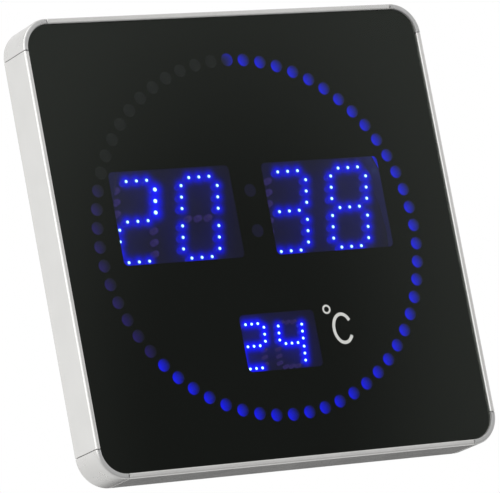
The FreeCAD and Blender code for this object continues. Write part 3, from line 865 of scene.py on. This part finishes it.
def cross_outline(x, z):
    long, short = cross_half_length, cross_half_width
    corners = ((short, long), (-short, long), (-short, short), (-long, short),
               (-long, -short), (-short, -short), (-short, -long), (short, -long),
               (short, -short), (long, -short), (long, short), (short, short))
    return [(x + right, z + up) for right, up in corners]


def cover_screws(material):
    """Countersunk screws with a cross recess."""
    low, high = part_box("cover_screws")
    y_recess = high.y - screw_recess
    heads, outlines = [], []
    for box_low, box_high in solids_of("cover_screws"):
        middle = (box_low + box_high) / 2
        radius = (box_high.x - box_low.x) / 2
        heads.append((middle, radius))
        outlines += [circle(middle.x, middle.z, radius, screw_sides), cross_outline(middle.x, middle.z)]
    bm = sheet_with_holes(outlines, y_recess, high.y)
    for middle, radius in heads:
        shank = radius - screw_taper * math.tan(screw_slope)
        deep = radius - screw_recess * (radius - shank) / screw_taper
        # The inner rim is drawn in, so that the head tapers
        for vert in bm.verts:
            away = math.hypot(vert.co.x - middle.x, vert.co.z - middle.z)
            if abs(away - radius) < rim_tolerance and vert.co.y < high.y - screw_recess / 2:
                vert.co.x = middle.x + (vert.co.x - middle.x) * deep / radius
                vert.co.z = middle.z + (vert.co.z - middle.z) * deep / radius
        floor = y_recess + screw_overlap
        turned_profile(bm, middle, [(0, floor), (deep, floor), (shank, high.y - screw_taper),
                                    (shank, low.y + shank), (0, low.y)], screw_sides)
    bmesh.ops.recalc_face_normals(bm, faces=bm.faces)
    finish_piece("cover_screw_heads", bm, material, ["cover_screws"])


# Finish of the CAD parts


def soften(node, material):
    """Gives a CAD node its finish and breaks its sharp edges, apart from those of the glass."""
    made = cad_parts[node]
    made.data.materials.clear()
    made.data.materials.append(material)
    weld = made.modifiers.new("weld", "WELD")
    weld.merge_threshold = shown_weld
    if node != "front_glass":
        bevel = made.modifiers.new("edges", "BEVEL")
        bevel.width = frame_edge if node.startswith(("rail_", "corner_")) else small_edge
        bevel.segments = edge_segments
        bevel.limit_method = "ANGLE"
        bevel.angle_limit = edge_angle
        bevel.miter_outer = "MITER_ARC"
    weighted = made.modifiers.new("normals", "WEIGHTED_NORMAL")
    weighted.keep_sharp = True


# CAD nodes that each material goes on
FINISH = {
    "satin_aluminium": ("rail_top", "rail_right", "rail_bottom", "rail_left"),
    "silver_corner": ("corner_top_right", "corner_bottom_right", "corner_bottom_left", "corner_top_left"),
    "screw_steel": ("corner_set_screws", "board_screws", "key_board_screws"),
    "clear_glass": ("front_glass",),
    "foam": ("glass_gasket",),
    "circuit_board": ("main_board", "radio_board", "key_board"),
    "chip_black": ("control_chip", "driver_chips", "radio_chip", "voltage_regulator"),
    "can_metal": ("buffer_capacitor", "quartz_crystal"),
    "ferrite": ("antenna_rod",),
    "copper_winding": ("antenna_coil",),
    "cover_plastic": ("rear_cover", "battery_door"),
    "button_plastic": ("set_button", "up_button", "down_button", "radio_button"),
    "shield_plastic_painted_glow": ("light_shield",),
    "dark_plastic": ("power_socket", "tact_switches", "radio_header", "antenna_cradles",
                     "temperature_sensor", "set_plunger", "up_plunger", "down_plunger", "radio_plunger"),
    "contact_metal": ("power_socket_pin", "cell_contacts", "coin_cell"),
}


# Studio

# Brightness of the room by height, from straight down (0) to straight up (1)
ROOM_IN_FRONT = ((0.0, 0.35), (0.35, 0.45), (0.5, 0.70), (0.56, 0.90), (0.75, 0.80), (1.0, 0.65))
ROOM_BEHIND = ((0.0, 0.70), (0.35, 0.85), (0.5, 0.95), (0.56, 1.0), (0.8, 0.9), (1.0, 0.65))

# Part of a direction to the front or back over which one room turns into the other
room_blend = 0.25

# Soft dark patches: direction of the middle, stretch, inner and outer radius, brightness left in the middle
SHADES = (
    ((0.512, -0.84, 0.155), (2.2, 0.3, 1.0), 0.030, 0.105, 0.42),
    ((0.45, -0.85, -0.10), (1.0, 1.0, 1.0), 0.10, 0.50, 0.50),
    ((0.515, 0.836, -0.190), (1.0, 1.0, 1.0), 0.15, 0.60, 0.12),
)

# Soft lamps that face the clock: place, width and height in metres, and power in watts
LAMPS = {
    "key_left": ((-1.6, -1.4, 0.5), (2.4, 1.6), 16),
    "overhead": ((-0.9, -0.8, 1.8), (1.6, 1.6), 14),
}

# Floor: height of its surface, half its width, and cells along a side
floor_height = -0.9
floor_half = 6
floor_cells = 8


def studio_world():
    """Pale room, darker where the glass and the underside mirror it to the camera, and white behind."""
    world = bpy.data.worlds.new("studio")
    scene.world = world
    world.use_nodes = True
    graph = Graph(world.node_tree)
    direction = graph.node("TexCoord").outputs["Generated"]
    parts = graph.node("SeparateXYZ")
    graph.join(direction, parts.inputs[0])
    height = graph.node("MapRange", From_Min=-1.0)
    graph.join(parts.outputs["Z"], height.inputs["Value"])
    behind = graph.node("MapRange", From_Min=-room_blend, From_Max=room_blend)
    graph.join(parts.outputs["Y"], behind.inputs["Value"])
    front = graph.ramp(height.outputs["Result"], *((place, grey(value)) for place, value in ROOM_IN_FRONT))
    back = graph.ramp(height.outputs["Result"], *((place, grey(value)) for place, value in ROOM_BEHIND))
    room = graph.mix(behind.outputs["Result"], front, back)
    for middle, stretch, inner, outer, darkest in SHADES:
        offset = graph.vector("SUBTRACT", direction, middle)
        scaled = graph.vector("MULTIPLY", offset.outputs["Vector"], stretch)
        far = graph.vector("LENGTH", scaled.outputs["Vector"])
        shade = graph.node("MapRange", From_Min=inner, From_Max=outer, To_Min=darkest)
        shade.interpolation_type = "SMOOTHSTEP"
        graph.join(far.outputs["Value"], shade.inputs["Value"])
        dimmed = graph.vector("SCALE", room)
        graph.join(shade.outputs["Result"], dimmed.inputs["Scale"])
        room = dimmed.outputs["Vector"]
    seen = graph.node("LightPath").outputs["Is Camera Ray"]
    graph.join(graph.mix(seen, room, grey(1.0)), graph.tree.nodes["Background"].inputs["Color"])


def area_light(name, place, size, power):
    data = bpy.data.lights.new(name, "AREA")
    data.shape = "RECTANGLE"
    data.size, data.size_y = size
    data.energy = power
    lamp = bpy.data.objects.new(name, data)
    scene.collection.objects.link(lamp)
    lamp.location = place
    lamp.rotation_mode = "QUATERNION"
    lamp.rotation_quaternion = (-Vector(place)).to_track_quat("-Z", "Y")


def studio_floor():
    bm = bmesh.new()
    bmesh.ops.create_grid(bm, x_segments=floor_cells, y_segments=floor_cells, size=floor_half)
    mesh = bpy.data.meshes.new("floor")
    bm.to_mesh(mesh)
    bm.free()
    floor = bpy.data.objects.new("floor", mesh)
    scene.collection.objects.link(floor)
    floor.location = (0, 0, floor_height)
    paint = Paint("floor", Base_Color=(0.85, 0.85, 0.85, 1), Roughness=0.9)
    mesh.materials.append(paint.material)
    floor.visible_glossy = False


def photo_camera():
    back = Vector((math.sin(camera_azimuth) * math.cos(camera_elevation),
                   -math.cos(camera_azimuth) * math.cos(camera_elevation), math.sin(camera_elevation)))
    level = Vector((math.cos(camera_azimuth), math.sin(camera_azimuth), 0))
    rise = back.cross(level)
    right = level * math.cos(camera_roll) + rise * math.sin(camera_roll)
    up = rise * math.cos(camera_roll) - level * math.sin(camera_roll)
    data = bpy.data.cameras.new("camera")
    data.sensor_width = sensor_width
    data.lens = photo_focal * sensor_width / photo_width
    data.clip_start, data.clip_end = camera_clip
    camera = bpy.data.objects.new("camera", data)
    scene.collection.objects.link(camera)
    turn = Matrix((right, up, back)).transposed().to_4x4()
    camera.matrix_world = Matrix.Translation(camera_place) @ turn
    scene.camera = camera


def dress():
    materials = {name: mottled(name, **values) for name, values in SURFACES.items()}
    materials["clear_glass"] = clear_glass()
    for name, nodes in FINISH.items():
        for node in nodes:
            soften(node, materials[name])
    lens = light_paint("led_lens", (0.02, 0.02, 0.05), Roughness=0.15, Specular_IOR_Level=0.3)
    board = light_paint("board_light", (0.006, 0.008, 0.008), Roughness=0.5, Specular_IOR_Level=0.2)
    # The tubes' light is painted on them as a glow
    milky = light_paint("milky_plastic_painted_glow", (0.015, 0.015, 0.02), Roughness=0.5, Specular_IOR_Level=0.2)
    haze = light_paint("haze", (0, 0, 0), see_through=True, Roughness=1.0, Specular_IOR_Level=0.0)
    time_lights = digit_lights("time_leds", time_digits)
    small_lights = digit_lights("thermometer_leds", temperature_digits)
    seconds = ring_lights()
    colons = [(middle, False) for middle in middles_of("colon_leds")]
    bright = bright_places("time_leds")
    domed_leds("time_led_lenses", "time_leds", time_lights, lens, core_radius, brighter=bright)
    domed_leds("thermometer_led_lenses", "thermometer_leds", small_lights, lens, small_core_radius)
    domed_leds("colon_led_lenses", "colon_leds", colons, lens, core_radius, UNLIT_COLON_PAINTED_GLOW)
    haze_film("time_haze", "time_leds",
              [(place, *(bright_glare if place in bright else time_glare))
               for place, lit in time_lights if lit], haze)
    haze_film("thermometer_haze", "thermometer_leds",
              [(place, *small_glare) for place, lit in small_lights if lit], haze)
    second_lights(seconds, lens)
    light_tubes(seconds, milky)
    board_face(time_lights + small_lights, seconds, board)
    window_print(materials["black_print"])
    degree_c_sign(materials["silver_print"])
    cover_screws(materials["zinc_steel"])


scene.view_settings.view_transform = "Standard"
dress()
studio_world()
studio_floor()
for lamp_name, (lamp_place, lamp_size, lamp_power) in LAMPS.items():
    area_light(lamp_name, lamp_place, lamp_size, lamp_power)
photo_camera()
